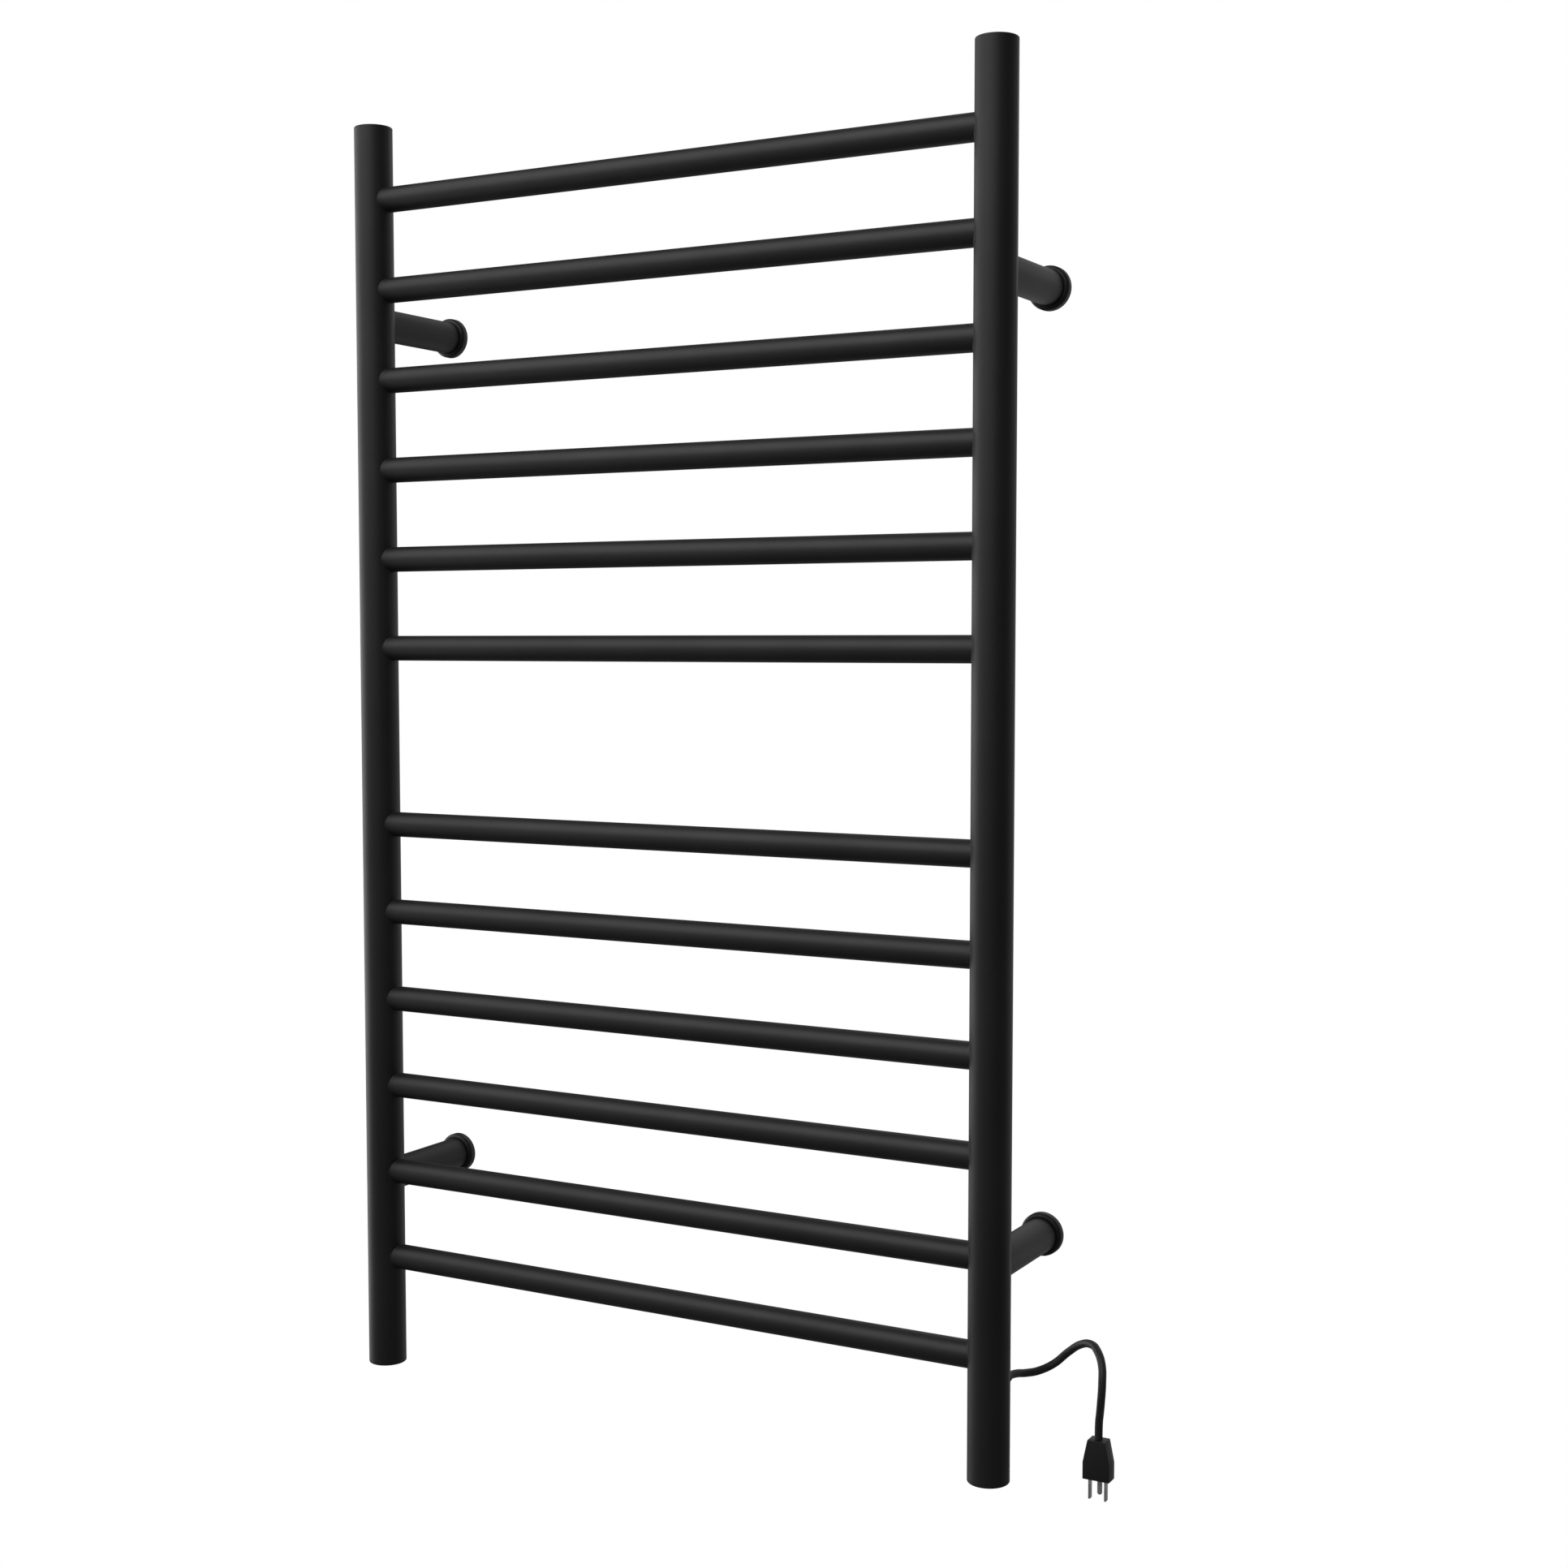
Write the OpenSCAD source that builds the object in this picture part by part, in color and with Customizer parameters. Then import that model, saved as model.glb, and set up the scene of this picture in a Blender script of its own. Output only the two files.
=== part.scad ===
// Wall-mounted electric towel warmer rack: two round uprights joined by twelve round bars,
// held off the wall by four round posts with sliding cover flanges, heated by a cable inside the
// tubes and fed by a short cord with a three-pin plug.
// Millimetres. +X runs right along the bars, +Y runs into the wall, +Z is up.
// The origin is on the wall plane, at the centre of the four wall screw holes.

/* [Frame] */
// Distance between the axes of the two uprights
upright_spacing = 568; // [420:1:800]
// Outer diameter of the uprights
upright_d = 32; // [27:0.5:40]
// Wall thickness of the uprights
upright_wall = 1.5; // [1:0.1:2]
// Distance from the wall to the plane of the tube axes
wall_gap = 105; // [88:1:140]

/* [Bars] */
// Outer diameter of the bars
bar_d = 21; // [16:0.5:25]
// Wall thickness of the bars
bar_wall = 1.2; // [0.8:0.1:1.6]
// Distance from one bar axis to the next
bar_pitch = 75; // [62:1:90]
// Distance from the top of the uprights to the highest bar axis
top_margin = 61; // [40:1:90]
// Distance from the lowest bar axis to the lower end of the uprights
bottom_margin = 94; // [90:1:140]

/* [End caps] */
// Thickness of the visible disc of an end cap
cap_disc = 2; // [1.5:0.1:4]
// Radius of the rounded rim of an end cap
cap_round = 1; // [0.3:0.1:1.4]
// Depth of the cap's plug inside the upright
cap_plug = 10; // [6:0.5:16]

/* [Wall brackets] */
// Distance from an end of the uprights to the nearest bracket axis
bracket_margin = 162.5; // [110:0.5:220]
// Outer diameter of a bracket post
post_d = 27; // [24:0.5:30]
// Wall thickness of a bracket post
post_wall = 2; // [1.6:0.1:3]
// Thickness of the solid end of a post, where its screw passes
post_end = 8; // [5:0.5:12]
// How far a cover flange stands out round its post
cover_lip = 3.5; // [3:0.5:8]
// Thickness of a cover flange
cover_t = 7; // [6.5:0.5:12]
// Radius of the rounded front edge of a cover flange
cover_round = 3; // [1:0.1:3]
// Gap between a post and its cover flange, which slides on it
cover_gap = 0.3; // [0.2:0.05:0.4]
// Thickness of the wall base's rim
base_rim = 2; // [1.5:0.1:2.5]
// Thickness of the wall base's floor
base_floor = 4; // [3:0.5:6]
// Depth of the wall base, from the wall to the end of its spigot
base_depth = 14; // [10:0.5:20]
// Wall thickness of the base's spigot
spigot_wall = 3.4; // [2.5:0.1:4.5]
// Diameter of the wall screw hole
wall_screw_hole_d = 5.5; // [4:0.1:7]

/* [Fasteners] */
// Diameter of the screw that holds a post to an upright
frame_screw_d = 6; // [5:1:6]
// Length of that screw under its head
frame_screw_length = 16; // [12:1:18]
// Diameter of the threaded insert in the upright
insert_d = 9; // [8:0.5:9.5]
// Length of the threaded insert
insert_length = 10; // [8:0.5:11]
// Diameter of the grub screw that locks a post to its wall base
grub_d = 3; // [2.5:0.5:3]
// Length of the grub screw
grub_length = 4; // [3.5:0.5:5]

/* [Wiring] */
// Diameter of the heating cable
heat_cable_d = 4.4; // [3.5:0.1:5]
// Centre-line radius of the heating cable's bends between bars
heat_bend = 12; // [8:0.5:14]
// Diameter of an insulated wire
wire_d = 2.4; // [1.6:0.1:2.6]
// Diameter of the thermal cut-out
cutout_d = 7.4; // [6:0.1:7.6]
// Length of the thermal cut-out
cutout_length = 16; // [10:0.5:18]
// Diameter of a closed-end crimp connector
splice_d = 9.4; // [8.6:0.1:9.6]
// Length of a closed-end crimp connector
splice_length = 18; // [12:0.5:20]
// Height of the cord's exit above the lower end of the upright
cord_exit = 68.5; // [66:0.5:80]

/* [Cord and plug] */
// Diameter of the cord
cord_d = 6.1; // [5:0.1:8]
// Length of the tapered strain relief outside the upright
relief_length = 20; // [20:1:36]
// Diameter of the strain relief at the upright
relief_d = 13; // [10:0.5:16]
// Thickness of the strain relief's rubber round the cord at its tip
relief_tip = 0.7; // [0.5:0.1:1.5]
// Width of the plug body at its pins
plug_w = 21.4; // [18:0.1:30]
// Width of the plug body at the cord
plug_top_w = 14.1; // [10:0.1:18]
// Thickness of the plug body
plug_t = 11.7; // [10:0.1:20]
// Height of the plug body
plug_h = 30.5; // [24:0.5:45]
// Height of the plug body's straight part, next to its pins
plug_straight = 13; // [8:0.5:20]
// Distance between the centres of the two flat pins
blade_spacing = 12.7; // [11:0.1:14.5]
// Width of a flat pin
blade_w = 4.6; // [4:0.1:6.4]
// Thickness of a flat pin
blade_t = 1.5; // [1.2:0.1:2]
// Length of a flat pin outside the plug
blade_length = 16; // [12:0.5:18]
// Diameter of the round earth pin
earth_pin_d = 3.9; // [3.5:0.1:4.8]
// Length of the earth pin outside the plug
earth_pin_length = 13.5; // [12:0.5:21]

/* [Hidden] */
$fn = 96;
slit = 0.1;             // gap between fixed pieces that slip into each other
slack = 0.3;            // room round a screw, and between a post and its base's rim
cut = 1;                // how far a cutting shape runs past what it cuts

POWDER_BLACK = [0.09, 0.09, 0.095];
ZINC = [0.62, 0.63, 0.65];
BLACK_OXIDE = [0.3, 0.3, 0.32];
TINNED_BRASS = [0.75, 0.68, 0.45];
MOULDED_BLACK = [0.05, 0.05, 0.055];
PIN_METAL = [0.62, 0.61, 0.58];

upright_r = upright_d / 2;
bore_r = upright_r - upright_wall;
bar_r = bar_d / 2;
bar_bore_r = bar_r - bar_wall;
post_r = post_d / 2;
post_bore_r = post_r - post_wall;
back_y = upright_r - wall_gap;          // back of the uprights
SIDES = [-1, 1];

// bars, counted from the top: six, a gap of one bar, and six more
BAR_COUNT = 12;
BARS_ABOVE_GAP = 6;
BARS = [1:BAR_COUNT];
frame_height = top_margin + bar_pitch * BAR_COUNT + bottom_margin;
half_height = frame_height / 2;
function bar_z(i) = half_height - top_margin - bar_pitch * (i <= BARS_ABOVE_GAP ? i - 1 : i);
function bar_name(i) = str("bar_", i < 10 ? "0" : "", i);

// corners: name, side along X, side along Z
CORNERS = [
    ["upper_left", -1, 1],
    ["upper_right", 1, 1],
    ["lower_left", -1, -1],
    ["lower_right", 1, -1],
];
function corner_x(c) = c[1] * upright_spacing / 2;
function corner_z(c) = c[2] * (half_height - bracket_margin);

// wall base, grub screw and cover
base_rim_r = post_r - slit;
spigot_r = post_bore_r - slit;
post_back_y = -base_rim - slack;
grub_edge = 1.2;        // metal between the grub screw's hole and the post's end
grub_y = post_back_y - grub_d / 2 - grub_edge;
grub_outer = post_r - slit;
cover_r = post_r + cover_lip;
HEX_SHARE = 0.5;        // a socket screw's hexagon, as a share of its thread

// post screw, a socket cap screw
CAP_HEAD = 1.66;        // a cap screw's head, in thread diameters
screw_r = frame_screw_d / 2;
screw_head_r = screw_r * CAP_HEAD;
screw_head_h = frame_screw_d;
screw_seat_y = back_y + post_end;
insert_back_y = -wall_gap + sqrt(pow(upright_r, 2) - pow(insert_d / 2, 2)) - slit;

// wiring inside the foot of the right upright, measured from its axis and stacked on its cap
foot_x = upright_spacing / 2;
foot_z = -half_height;
cord_z = foot_z + cord_exit;
wiring_gap = 1.3;       // room between a connector and the upright's bore
core_front = 5.5;       // offset of the cord's cores towards the wall
wire_side = sqrt(pow(bore_r - splice_d / 2 - wiring_gap, 2) - pow(core_front / 2, 2));
earth_room = 14;        // room for the earth tongue under the connectors
lead_length = 12;       // bare lead between the cut-out and its connector
tail_bend = 6;          // bend radius of the heating cable's two tails
core_bend = 2.6;        // bend radius of the cores behind the strain relief
core_drop = 5.2;        // height over which the cores bend down and spread
core_spread = 2.3;      // distance between the cores inside the strain relief
cap_top = foot_z + cap_disc + cap_plug;
splice_top = cap_top + earth_room + splice_length;
cutout_top = splice_top + lead_length + cutout_length;
lug_t = 0.8;
lug_r = 4;
lug_barrel_r = 1.8;
lug_barrel_h = 6;
earth_screw_d = 4;
earth_screw_y = -4;
earth_head_r = 3.6;
earth_head_h = 2.4;
earth_slot_w = 1;
earth_slot_depth = 1;

// strain relief: a collar inside the upright, a neck in its wall and a ribbed boot outside
collar_r = 6;
collar_t = 2.5;
collar_seat = 1;        // how far the collar's flat face stays from the round bore
neck_r = 4.6;
collar_y = bore_r - collar_t - collar_seat;
RIB_COUNT = 4;
RIB_GAP_SHARE = 0.35;   // share of a rib's pitch that is cut away
rib_pitch = relief_length / (RIB_COUNT + RIB_GAP_SHARE + 1);
rib_floor = 0.5;        // rubber left round the cord under a cut

// cord: where it leaves the strain relief, its free route, and the middle of the plug's top
CORD_ROUTE = [
    [284, -69, -459], [285.5, -56.5, -460], [289.5, -46, -462], [296, -36, -462],
    [305, -27.5, -457.5], [314.5, -23.5, -448.5], [325.5, -26, -440], [338.5, -35, -435.5],
    [345, -41.5, -437], [352, -50, -444.5], [354.5, -55.5, -456], [353.5, -55, -471],
    [350.5, -49, -482.5], [348, -44, -491], [346.5, -40.5, -505.5],
];
CORD_START = [0, 1, 0];
CORD_END = [0, 0, -1];
PLUG_AT = CORD_ROUTE[len(CORD_ROUTE) - 1];
plug_pocket = 5;        // depth of the pin roots inside the plug
blade_chamfer = 0.4;
blade_front = -0.4;     // offset of the flat pins from the middle of the plug, along Y
pin_edge = 0.5;         // plastic between the earth pin and the plug's side
earth_pin_y = plug_t / 2 - earth_pin_d / 2 - pin_edge;

// ---------------------------------------------------------------- shared shapes

// a cylinder along Y, from y0 to y1
module rod_y(r, y0, y1) {
    translate([0, y1, 0]) rotate([90, 0, 0]) cylinder(r = r, h = y1 - y0);
}

function unit(v) = v / norm(v);

// directions of a route at its points, with its first and last direction given
function directions(route, first, last) = [
    for (i = [0:len(route) - 1])
        i == 0 ? first : i == len(route) - 1 ? last : unit(route[i + 1] - route[i - 1])
];

// sideways vectors carried along a route, so that its rings don't twist
function sideways(dirs, i, side) =
    i == len(dirs) ? [] : let (s = unit(side - (side * dirs[i]) * dirs[i]))
        concat([s], sideways(dirs, i + 1, s));

// a round tube of flat-sided rings, one at each point of a route
module swept(route, r, sides, first, last, side) {
    dirs = directions(route, first, last);
    across = sideways(dirs, 0, side);
    count = len(route);
    points = [
        for (i = [0:count - 1]) for (k = [0:sides - 1])
            let (a = 360 * k / sides)
            route[i] + r * (cos(a) * across[i] + sin(a) * cross(dirs[i], across[i]))
    ];
    ends = [
        [for (k = [0:sides - 1]) k],
        [for (k = [sides - 1:-1:0]) (count - 1) * sides + k],
    ];
    walls = [
        for (i = [0:count - 2]) for (k = [0:sides - 1])
            let (a = i * sides + k, b = i * sides + (k + 1) % sides)
            each [[a, a + sides, b], [b, a + sides, b + sides]]
    ];
    polyhedron(points, concat(ends, walls));
}

// ---------------------------------------------------------------- frame

module upright(side) {
    color(POWDER_BLACK)
    difference() {
        translate([side * upright_spacing / 2, -wall_gap, -half_height + cap_disc]) difference() {
            cylinder(r = upright_r, h = frame_height - 2 * cap_disc);
            translate([0, 0, -cut]) cylinder(r = bore_r, h = frame_height + cut);
        }
        for (i = BARS) bar_hole(side, i);
        for (c = CORNERS) if (c[1] == side) insert_hole(c);
        if (side > 0) cord_hole();
    }
}

// opening from a bar's bore into the upright's bore
module bar_hole(side, i) {
    translate([side * upright_spacing / 2, -wall_gap, bar_z(i)])
        rotate([0, -90 * side, 0]) cylinder(r = bar_bore_r, h = upright_d);
}

module insert_hole(c) {
    translate([corner_x(c), 0, corner_z(c)])
        rod_y(insert_d / 2 + slit, -wall_gap, -wall_gap + upright_d);
}

module cord_hole() {
    translate([foot_x, 0, cord_z]) rod_y(neck_r + slit, -wall_gap, -wall_gap + upright_d);
}

// a bar whose ends are shaped to sit on the round uprights
module bar(i) {
    color(POWDER_BLACK)
    translate([0, -wall_gap, bar_z(i)]) difference() {
        rotate([0, 90, 0]) cylinder(r = bar_r, h = upright_spacing, center = true);
        rotate([0, 90, 0]) cylinder(r = bar_bore_r, h = upright_spacing + cut, center = true);
        for (s = SIDES) translate([s * upright_spacing / 2, 0, -bar_d])
            cylinder(r = upright_r, h = 2 * bar_d);
    }
}

// a disc with a rounded rim, level with the tube, on a plug that fits the tube's bore
module end_cap(c) {
    color(POWDER_BLACK)
    translate([corner_x(c), -wall_gap, c[2] * half_height])
        rotate([c[2] > 0 ? 0 : 180, 0, 0]) rotate_extrude() {
            translate([0, -cap_disc]) square([upright_r - cap_round, cap_disc]);
            translate([0, -cap_disc]) square([upright_r, cap_disc - cap_round]);
            intersection() {
                translate([upright_r - cap_round, -cap_round]) circle(r = cap_round);
                translate([upright_r - cap_round, -cap_round]) square(cap_round);
            }
            translate([0, -cap_disc - cap_plug]) square([bore_r - slit, cap_plug]);
        }
}

// ---------------------------------------------------------------- wall brackets

// a hollow post whose solid end is shaped to sit on the back of the upright
module post(c) {
    color(POWDER_BLACK)
    translate([corner_x(c), 0, corner_z(c)]) difference() {
        rod_y(post_r, -wall_gap, post_back_y);
        rod_y(post_bore_r, screw_seat_y, cut);
        rod_y(screw_r + slack, -wall_gap, 0);
        translate([0, -wall_gap, -post_d]) cylinder(r = upright_r, h = 2 * post_d);
        translate([0, grub_y, -post_d]) cylinder(d = grub_d, h = post_d);
        for (i = BARS) if (abs(bar_z(i) - corner_z(c)) < bar_r + post_r)
            translate([0, -wall_gap, bar_z(i) - corner_z(c)]) rotate([0, 90, 0])
                cylinder(r = bar_r, h = 2 * post_d, center = true);
    }
}

// a ring with a rounded front edge, which slides along its post
module cover(c) {
    color([0.08, 0.08, 0.085])
    translate([corner_x(c), 0, corner_z(c)]) rotate([90, 0, 0]) rotate_extrude()
        difference() {
            union() {
                square([cover_r, cover_t - cover_round]);
                square([cover_r - cover_round, cover_t]);
                translate([cover_r - cover_round, cover_t - cover_round])
                    circle(r = cover_round);
            }
            translate([-cut, -cut]) square([post_r + cover_gap + cut, cover_t + 2 * cut]);
        }
}

// a cup that the wall screw holds to the wall: its spigot carries the post
module wall_base(c) {
    color(ZINC)
    translate([corner_x(c), 0, corner_z(c)]) difference() {
        union() {
            rod_y(base_rim_r, -base_rim, 0);
            rod_y(spigot_r, -base_depth, 0);
        }
        rod_y(spigot_r - spigot_wall, -base_depth - cut, -base_floor);
        rod_y(wall_screw_hole_d / 2, -base_depth, cut);
        translate([0, grub_y, -post_d]) cylinder(r = grub_d / 2 + slit / 2, h = post_d);
    }
}

module grub_screws() {
    color(BLACK_OXIDE)
    for (c = CORNERS) translate([corner_x(c), grub_y, corner_z(c) - grub_outer]) difference() {
        cylinder(d = grub_d, h = grub_length);
        translate([0, 0, -cut])
            cylinder(d = grub_d * HEX_SHARE, h = grub_length / 2 + cut, $fn = 6);
    }
}

module frame_screws() {
    color(BLACK_OXIDE)
    for (c = CORNERS) translate([corner_x(c), 0, corner_z(c)]) difference() {
        union() {
            rod_y(screw_head_r, screw_seat_y, screw_seat_y + screw_head_h);
            rod_y(screw_r, screw_seat_y - frame_screw_length, screw_seat_y);
        }
        translate([0, screw_seat_y + screw_head_h + cut, 0]) rotate([90, 0, 0])
            cylinder(r = frame_screw_d * HEX_SHARE, h = screw_head_h / 2 + cut, $fn = 6);
    }
}

module frame_inserts() {
    color(ZINC)
    for (c = CORNERS) translate([corner_x(c), 0, corner_z(c)]) difference() {
        rod_y(insert_d / 2, insert_back_y - insert_length, insert_back_y);
        rod_y(screw_r + slit / 2, insert_back_y - insert_length - cut, insert_back_y + cut);
    }
}

// ---------------------------------------------------------------- heating cable and wires

// points of a quarter bend from direction a to direction b, round a corner point
function quarter(corner, a, b, r) = [
    for (t = [0:30:90]) corner - r * a + r * b + r * (sin(t) * a - cos(t) * b)
];

// the cable runs to and fro through the bars, from the lowest one at the right to the highest
function bar_run(i) =
    let (dir = i % 2 == 0 ? -1 : 1, z = bar_z(i), x = dir * upright_spacing / 2)
    concat(
        i == BAR_COUNT ? [] : quarter([-x, 0, z], [0, 0, 1], [dir, 0, 0], heat_bend),
        i == 1 ? [] : quarter([x, 0, z], [dir, 0, 0], [0, 0, 1], heat_bend)
    );
function flatten(list) = [for (part = list) each part];
heat_route = concat(
    [[foot_x - wire_side, 0, cutout_top]],
    quarter([foot_x - wire_side, 0, bar_z(BAR_COUNT)], [0, 0, 1], [-1, 0, 0], tail_bend),
    flatten([for (k = [0:BAR_COUNT - 1]) bar_run(BAR_COUNT - k)]),
    quarter([foot_x + wire_side, 0, bar_z(1)], [1, 0, 0], [0, 0, -1], tail_bend),
    [[foot_x + wire_side, 0, bar_z(1) - 2 * tail_bend]]
);

module heating_cable() {
    color([0.55, 0.16, 0.1])
    translate([0, -wall_gap, 0])
        swept(heat_route, heat_cable_d / 2, 8, [0, 0, 1], [0, 0, -1], [0, 1, 0]);
}

module return_lead() {
    color([0.85, 0.85, 0.82])
    translate([foot_x + wire_side, -wall_gap, splice_top])
        cylinder(d = wire_d, h = bar_z(1) - 2 * tail_bend - splice_top);
}

module thermal_cutout() {
    color([0.72, 0.7, 0.62])
    translate([foot_x - wire_side, -wall_gap, splice_top]) {
        cylinder(d = wire_d, h = cutout_top - splice_top);
        translate([0, 0, cutout_top - splice_top - cutout_length])
            cylinder(d = cutout_d, h = cutout_length);
    }
}

module wire_splices() {
    color([0.75, 0.75, 0.7])
    for (s = SIDES) translate([
        foot_x + s * wire_side,
        -wall_gap + core_front / 2,
        splice_top - splice_length
    ]) cylinder(d = splice_d, h = splice_length);
}

// one of the cord's cores: out of the strain relief's collar, round a bend and down to z_end
module cord_core(side, z_end) {
    x0 = foot_x + side * core_spread;
    x1 = foot_x + side * wire_side;
    y1 = -wall_gap + core_front;
    bend = [
        for (t = [0:30:90])
            [x0 + (x1 - x0) * t / 90, y1 + core_bend * (1 - sin(t)), cord_z - core_drop * (1 - cos(t))]
    ];
    swept(
        concat([[x0, -wall_gap + collar_y, cord_z]], bend, [[x1, y1, z_end]]),
        wire_d / 2, 8, [0, -1, 0], [0, 0, -1], [1, 0, 0]
    );
}

module live_core() {
    color([0.12, 0.12, 0.12]) cord_core(-1, splice_top);
}

module neutral_core() {
    color([0.86, 0.86, 0.84]) cord_core(1, splice_top);
}

module earth_core() {
    color([0.2, 0.5, 0.22]) cord_core(0, cap_top + lug_t + lug_barrel_h);
}

// a ring tongue on the foot cap, with a barrel that holds the earth wire
module earth_lug() {
    color(TINNED_BRASS)
    translate([foot_x, -wall_gap, cap_top]) {
        linear_extrude(lug_t) difference() {
            union() {
                translate([0, earth_screw_y]) circle(r = lug_r);
                translate([-wire_d, earth_screw_y]) square([2 * wire_d, core_front - earth_screw_y]);
                translate([0, core_front]) circle(r = wire_d);
            }
            translate([0, earth_screw_y]) circle(d = earth_screw_d + slack);
        }
        translate([0, core_front, 0]) cylinder(r = lug_barrel_r, h = lug_t + lug_barrel_h);
    }
}

module earth_screw() {
    color(TINNED_BRASS)
    translate([foot_x, -wall_gap + earth_screw_y, cap_top + lug_t]) difference() {
        cylinder(r = earth_head_r, h = earth_head_h);
        translate([-earth_screw_d, -earth_slot_w / 2, earth_head_h - earth_slot_depth])
            cube([2 * earth_screw_d, earth_slot_w, earth_slot_depth + cut]);
    }
}

// ---------------------------------------------------------------- cord and plug

// a moulded boot: a ribbed taper outside the upright, a neck in its wall, a collar inside
module strain_relief() {
    color(MOULDED_BLACK)
    translate([foot_x, 0, cord_z]) {
        difference() {
            rotate([-90, 0, 0]) translate([0, 0, back_y - upright_wall]) {
                cylinder(r = relief_d / 2, h = upright_wall);
                translate([0, 0, upright_wall])
                    cylinder(r1 = relief_d / 2, r2 = cord_d / 2 + relief_tip, h = relief_length);
            }
            translate([0, -wall_gap, -relief_d]) cylinder(r = upright_r, h = 2 * relief_d);
            for (k = [1:RIB_COUNT]) translate([0, back_y + k * rib_pitch, 0]) difference() {
                rod_y(relief_d, 0, rib_pitch * RIB_GAP_SHARE);
                rod_y(cord_d / 2 + rib_floor, -cut, rib_pitch + cut);
            }
        }
        rod_y(neck_r, back_y - upright_wall - cut, back_y);
        intersection() {
            rod_y(collar_r, -wall_gap + collar_y, back_y);
            translate([0, -wall_gap, -relief_d]) cylinder(r = bore_r, h = 2 * relief_d);
        }
    }
}

module power_cord() {
    color([0.06, 0.06, 0.065])
    swept(CORD_ROUTE, cord_d / 2, 12, CORD_START, CORD_END, [1, 0, 0]);
}

module plug_body() {
    color(MOULDED_BLACK)
    translate(PLUG_AT) difference() {
        translate([0, plug_t / 2, 0]) rotate([90, 0, 0]) linear_extrude(plug_t) polygon([
            [-plug_top_w / 2, 0],
            [-plug_w / 2, plug_straight - plug_h],
            [-plug_w / 2, -plug_h],
            [plug_w / 2, -plug_h],
            [plug_w / 2, plug_straight - plug_h],
            [plug_top_w / 2, 0],
        ]);
        for (s = SIDES) translate([
            s * blade_spacing / 2 - blade_t / 2 - slit,
            blade_front - blade_w / 2 - slit,
            -plug_h - cut
        ]) cube([blade_t + 2 * slit, blade_w + 2 * slit, plug_pocket + cut]);
        translate([0, earth_pin_y, -plug_h - cut])
            cylinder(r = earth_pin_d / 2 + slit, h = plug_pocket + cut);
    }
}

module plug_blades() {
    color(PIN_METAL)
    for (s = SIDES) translate(PLUG_AT + [
        s * blade_spacing / 2 - blade_t / 2,
        blade_front,
        plug_pocket - plug_h
    ]) rotate([90, 0, 90]) linear_extrude(blade_t) polygon([
        [-blade_w / 2, 0],
        [-blade_w / 2, blade_chamfer - plug_pocket - blade_length],
        [blade_chamfer - blade_w / 2, -plug_pocket - blade_length],
        [blade_w / 2 - blade_chamfer, -plug_pocket - blade_length],
        [blade_w / 2, blade_chamfer - plug_pocket - blade_length],
        [blade_w / 2, 0],
    ]);
}

module earth_pin() {
    r = earth_pin_d / 2;
    length = plug_pocket + earth_pin_length;
    color(PIN_METAL)
    translate(PLUG_AT + [0, earth_pin_y, plug_pocket - plug_h]) mirror([0, 0, 1])
        rotate_extrude() {
            square([r, length - r]);
            intersection() {
                translate([0, length - r]) circle(r = r);
                translate([0, length - r]) square(r);
            }
        }
}

// ---------------------------------------------------------------- the parts

upright(-1);  // left_upright
upright(1);  // right_upright
for (i = BARS) bar(i);
for (c = CORNERS) {
    end_cap(c);
    post(c);
    cover(c);
    wall_base(c);
}
grub_screws();
frame_screws();
frame_inserts();
heating_cable();
return_lead();
thermal_cutout();
wire_splices();
live_core();
neutral_core();
earth_core();
earth_lug();
earth_screw();
strain_relief();
power_cord();
plug_body();
plug_blades();
earth_pin();
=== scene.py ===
"""Looks of the wall-mounted towel warmer rack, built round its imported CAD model.

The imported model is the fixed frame: tubes, caps, posts, covers and fittings keep their CAD
meshes and get a finish each. The cord, its boot, the plug and its blades are modelled here, and
so are the brazed fillets where tubes meet and the rubber rings inside the covers.
Metres; +X right, +Y into the wall, +Z up.
"""

import logging
import math
from abc import ABC, abstractmethod
from collections.abc import Callable, Iterator, Mapping, Sequence
from contextlib import contextmanager
from dataclasses import dataclass, field
from enum import Enum
from typing import Any

import bpy
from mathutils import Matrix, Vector


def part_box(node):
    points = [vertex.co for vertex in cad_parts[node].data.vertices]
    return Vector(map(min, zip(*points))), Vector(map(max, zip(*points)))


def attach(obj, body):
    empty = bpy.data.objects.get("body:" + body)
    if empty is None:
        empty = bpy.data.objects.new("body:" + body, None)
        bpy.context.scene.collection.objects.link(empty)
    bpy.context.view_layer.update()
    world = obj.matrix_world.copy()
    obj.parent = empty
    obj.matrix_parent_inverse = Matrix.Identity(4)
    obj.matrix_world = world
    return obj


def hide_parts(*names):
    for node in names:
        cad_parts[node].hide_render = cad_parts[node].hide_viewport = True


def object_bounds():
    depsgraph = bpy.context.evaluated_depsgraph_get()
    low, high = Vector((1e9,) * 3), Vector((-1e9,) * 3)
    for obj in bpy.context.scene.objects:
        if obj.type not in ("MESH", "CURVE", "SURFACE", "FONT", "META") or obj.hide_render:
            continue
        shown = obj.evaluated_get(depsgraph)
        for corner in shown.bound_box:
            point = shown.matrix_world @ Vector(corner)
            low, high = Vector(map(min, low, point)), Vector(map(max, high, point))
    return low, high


LOG = logging.getLogger("towel_rack")
MM = 0.001

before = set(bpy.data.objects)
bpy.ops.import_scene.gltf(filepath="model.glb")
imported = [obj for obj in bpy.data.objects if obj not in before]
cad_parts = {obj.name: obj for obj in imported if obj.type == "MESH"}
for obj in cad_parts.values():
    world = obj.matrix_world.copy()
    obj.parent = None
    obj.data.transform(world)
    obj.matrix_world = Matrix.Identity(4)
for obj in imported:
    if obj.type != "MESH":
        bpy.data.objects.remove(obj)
CAD_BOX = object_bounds()

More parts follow.
